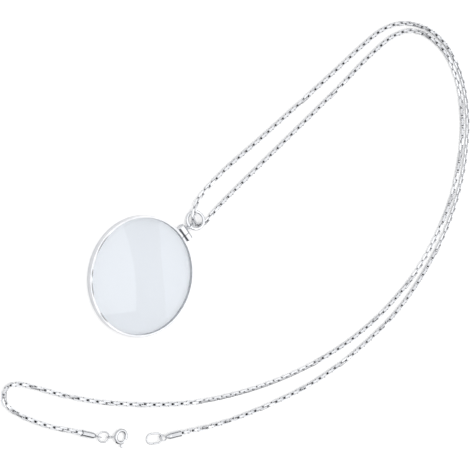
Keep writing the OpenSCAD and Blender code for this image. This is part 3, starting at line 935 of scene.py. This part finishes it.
class PENDANT_OT_rings(bpy.types.Operator):
    """Oval jump rings. The second one has an open joint."""
    bl_idname = "pendant.rings"
    bl_label = "Jump Rings"

    def execute(self, context):
        self.ring("jump_ring_a", RING_A, 96, 0.0, RING_A_AT)
        self.ring("jump_ring_b", RING_B, 120, RING_B_SLOPE, RING_B_AT)
        return {"FINISHED"}

    def ring(self, name, sizes, count, lean, place):
        """Oval of round wire, whose ends are eased a little where it is cut."""
        cut, ease = sizes["cut"], 0.03
        line, out = oval_line(sizes["length"], sizes["width"], sizes["wire"], count, cut)
        radius = np.full(count, sizes["wire"] / 2)
        if cut:
            radius[[0, -1]] -= ease
        shape = Shape()
        shape.solid(tube(line, out, radius, count=24), loop=not cut,
                    turn=turn_z(sizes["turn"]) @ turn_y(lean), place=place)
        shape.piece(name, "necklace", silver())


class PENDANT_OT_clasp(bpy.types.Operator):
    """Spring ring clasp: the bent tube with its mouth, slot, neck and eye, and the bolt with
    its knob"""
    bl_idname = "pendant.clasp"
    bl_label = "Spring Ring Clasp"

    def execute(self, context):
        shape = Shape()
        self.bored_ends(shape)
        self.slotted_stretch(shape)
        self.neck(shape)
        shape.moved(CLASP_AXES, CLASP_AT)
        shape.piece("spring_ring", "necklace", silver(), sharp=40)

        shape = Shape()
        self.bolt(shape)
        self.knob(shape)
        shape.moved(CLASP_AXES, CLASP_AT)
        shape.piece("spring_latch", "latch", screw_steel(), sharp=45)
        return {"FINISHED"}

    def stretch(self, shape, stations, count, loop=False):
        """Stretch of bent bar or tube through stations of an angle in degrees and a radius."""
        angle, radius = np.array(stations).T
        out = along(angle)
        shape.solid(tube(TUBE_R * out, out, radius, count), loop=loop,
                    ends=None if loop else TUBE_R * out[[0, -1]])

    def bored_ends(self, shape):
        """The tube on both sides of its mouth: the long stretch, bored a little way in at both
        ends, and the short one between slot and mouth, bored right through."""
        outer, inner = TUBE_D / 2, TUBE_BORE / 2
        slot_end = SLOT_START + 360

        def lip(mouth, side):
            """Stations of the softened mouth, from the bore outwards."""
            return [(mouth + 0.3 * side, inner), (mouth, inner + 0.03), (mouth, outer - 0.09),
                    (mouth + 0.7 * side, outer - 0.025)]

        def plain(start, final, steps):
            return [(angle, outer) for angle in np.linspace(start, final, steps)]

        self.stretch(shape, [
            (SOCKET_END, inner), *lip(MOUTH_END, 1), (MOUTH_END + 2, outer),
            *plain(MOUTH_END + 4, slot_end - 0.5, 96), (slot_end, outer), (slot_end, inner),
            (CHAMBER_START + 360, inner)], count=32)
        self.stretch(shape, [
            (SLOT_END, inner), (SLOT_END, outer), *plain(SLOT_END + 0.5, MOUTH_START - 2, 10),
            *lip(MOUTH_START, -1)[::-1]], count=32, loop=True)

    def slotted_stretch(self, shape):
        """The tube where the knob slides: its section is a ring, open towards the outside,
        carried round as ((tube + x) cos a, (tube + x) sin a, y)."""
        outer, inner = TUBE_D / 2, TUBE_BORE / 2
        gap_out = math.asin(STEM_SLOT_W / 2 / outer)
        gap_in = math.asin(STEM_SLOT_W / 2 / inner)
        a = np.linspace(gap_out, 2 * np.pi - gap_out, 33)
        b = np.linspace(2 * np.pi - gap_in, gap_in, 33)
        x = np.concatenate([outer * np.cos(a), inner * np.cos(b)])
        y = np.concatenate([outer * np.sin(a), inner * np.sin(b)])
        out = along(np.linspace(SLOT_START, SLOT_END, 41))[:, None]
        shape.solid((TUBE_R + x)[:, None] * out + y[:, None] * UP, flat=True)

    def neck(self, shape):
        """Neck with a slight waist between the tube and its upright eye."""
        waist = 0.06
        x = np.linspace(-CLASP_R - NECK_LEN, -TUBE_R - 0.3, 14)
        thick = NECK_D / 2 - waist * np.sin(np.pi * (x - x[0]) / (x[-1] - x[0]))
        shape.solid(lathe(np.stack([thick, x], -1), count=28), turn=turn_y(90))
        shape.solid(torus((CLASP_EYE_D - CLASP_EYE_WIRE) / 2, CLASP_EYE_WIRE / 2, around=64,
                          section=20), loop=True, turn=turn_x(90), place=(-CLASP_EYE_X, 0, 0))

    def bolt(self, shape):
        """Bent bar in the tube, with both ends softened."""
        radius, ends = BOLT_D / 2, 0.12
        lip = math.degrees(ends / TUBE_R)
        first, last = BOLT_START, BOLT_END
        self.stretch(shape, [
            (first, radius - ends), (first + 0.35 * lip, radius - 0.3 * ends),
            (first + lip, radius), *((a, radius) for a in np.linspace(first, last, 40)[1:-1]),
            (last - lip, radius), (last - 0.35 * lip, radius - 0.3 * ends),
            (last, radius - ends)], count=24)

    def knob(self, shape):
        """Stem and ball as one turned profile, standing out through the slot."""
        stem_r, ball_r = STEM_D / 2, KNOB_D / 2
        knob_at = CLASP_R + KNOB_OUT - ball_r
        a = np.radians(np.linspace(205, 358, 22))
        ball = np.stack([-ball_r * np.sin(a), knob_at + ball_r * np.cos(a)], -1)
        r, h = ball.T
        ball = ball[(r > 0.2 * stem_r) & ((r >= stem_r) | (h >= knob_at))]
        stem = [[stem_r, TUBE_R], [stem_r, TUBE_R + 0.4],
                [0.92 * stem_r, knob_at - ball_r + 0.02], [stem_r, knob_at - ball_r + 0.1]]
        shape.solid(lathe(np.vstack([stem, ball]), count=32),
                    ends=([0, 0, TUBE_R], [0, 0, knob_at + ball_r]),
                    turn=turn_z(KNOB_ANGLE) @ turn_y(90))


class PENDANT_OT_stage(bpy.types.Operator):
    """Pale floor, soft studio light and the photograph's camera"""
    bl_idname = "pendant.stage"
    bl_label = "Stage"

    def execute(self, context):
        s = look("stage")
        self.floor(s)
        self.sky(s)
        for name, box in SOFT_BOXES.items():
            self.light(name, s.box, **box)
        self.camera()
        context.scene.view_settings.view_transform = "Standard"
        return {"FINISHED"}

    def floor(self, s):
        """Square sheet that gives off a little light of its own, as a light table does."""
        half = s.size / 2
        mesh = bpy.data.meshes.new("floor")
        mesh.from_pydata([(-half, -half, 0), (half, -half, 0), (half, half, 0), (-half, half, 0)],
                         [], [(0, 1, 2, 3)])
        material, tree, shader = new_material("pale_floor")
        feed(tree, shader, {"Base Color": (*s.floor, 1), "Roughness": 0.9,
                            "Specular IOR Level": 0.1, "Emission Color": (1, 1, 1, 1),
                            "Emission Strength": s.glow})
        mesh.materials.append(material)
        floor = bpy.data.objects.new("floor", mesh)
        bpy.context.scene.collection.objects.link(floor)

    def sky(self, s):
        """White above and dark low down. On one side the dark reaches higher, as a black screen
        beside the camera does: the tones are read at z - screen * share, where the share rises
        from 0 to 1 as the direction turns to that side."""
        world = bpy.data.worlds.new("studio")
        world.use_nodes = True
        tree = world.node_tree
        place = node(tree, "TexCoord", {})["Generated"]
        z = node(tree, "SeparateXYZ", {0: place})["Z"]
        facing = node(tree, "VectorMath", {0: place, 1: SCREEN_SIDE},
                      operation="DOT_PRODUCT")["Value"]
        share = span(tree, facing, *SCREEN_EDGE, interpolation_type="SMOOTHSTEP")
        ramp = tree.nodes.new("ShaderNodeValToRGB")
        feed(tree, ramp, {"Fac": multiply_add(tree, share, -s.screen, z)})
        stops = ramp.color_ramp.elements
        for stop, (position, tone) in zip(stops, (SKY_TONES[0], SKY_TONES[-1])):
            stop.position, stop.color = position, tone
        for position, tone in SKY_TONES[1:-1]:
            stops.new(position).color = tone
        feed(tree, tree.nodes["Background"], {"Color": ramp.outputs["Color"], "Strength": s.sky})
        bpy.context.scene.world = world

    def light(self, name, radiance, place, turn, size, outline, share):
        """Area light on the far side of the glass, which faces it. Its power is its share of
        the radiance times pi times its area."""
        mirror = unit(np.array(CAMERA_LOOK) * [1, 1, -1])
        across = unit(np.cross(UP, mirror))
        upward = np.cross(mirror, across)
        a = math.radians(turn)
        first = math.cos(a) * across + math.sin(a) * upward
        lamp = bpy.data.lights.new(name, "AREA")
        lamp.shape = outline
        lamp.size, lamp.size_y = size
        area = size[0] * size[1] * (math.pi / 4 if outline == "ELLIPSE" else 1)
        lamp.energy = share * radiance * math.pi * area
        at = BOX_FAR * mirror + (place[0] * across + place[1] * upward) * MM
        self.stand(name, lamp, (first, np.cross(mirror, first), mirror), at)

    def camera(self):
        data = bpy.data.cameras.new("camera")
        data.lens = CAMERA_LENS
        data.sensor_width = SENSOR_W
        data.clip_start = NEAREST
        back = -Vector(CAMERA_LOOK).normalized()
        up = back.cross(Vector(CAMERA_RIGHT).normalized()).normalized()
        made = self.stand("camera", data, (up.cross(back), up, back), Vector(CAMERA_AT) * MM)
        bpy.context.scene.camera = made

    def stand(self, name, data, axes, at):
        """Puts a lamp or camera at a place in metres, with its X, Y and Z along axes."""
        made = bpy.data.objects.new(name, data)
        made.matrix_world = (Matrix.Translation(Vector(at))
                             @ Matrix(axes).transposed().to_4x4())
        bpy.context.scene.collection.objects.link(made)
        return made


MAKERS = (PENDANT_OT_lens, PENDANT_OT_rim, PENDANT_OT_screw, PENDANT_OT_bail, PENDANT_OT_chain,
          PENDANT_OT_caps, PENDANT_OT_rings, PENDANT_OT_clasp, PENDANT_OT_stage)
SETTINGS = {"metal": MetalLook, "glass": GlassLook, "chain": ChainLook, "stage": StageLook}


class PENDANT_PT_panel(bpy.types.Panel):
    bl_idname = "PENDANT_PT_panel"
    bl_label = "Magnifier Pendant"
    bl_space_type = "VIEW_3D"
    bl_region_type = "UI"
    bl_category = "Pendant"

    def draw(self, context):
        for name, group in SETTINGS.items():
            box = self.layout.box()
            for prop in group.__annotations__:
                box.prop(look(name), prop)
        for maker in MAKERS:
            self.layout.operator(maker.bl_idname)


CLASSES = (*SETTINGS.values(), *MAKERS, PENDANT_PT_panel)


def register():
    for cls in CLASSES:
        bpy.utils.register_class(cls)
    for name, group in SETTINGS.items():
        setattr(bpy.types.Scene, "pendant_" + name, PointerProperty(type=group))


def unregister():
    for name in SETTINGS:
        delattr(bpy.types.Scene, "pendant_" + name)
    for cls in reversed(CLASSES):
        bpy.utils.unregister_class(cls)


def main():
    register()
    for maker in MAKERS:
        group, name = maker.bl_idname.split(".")
        getattr(getattr(bpy.ops, group), name)()


if __name__ == "__main__":
    main()
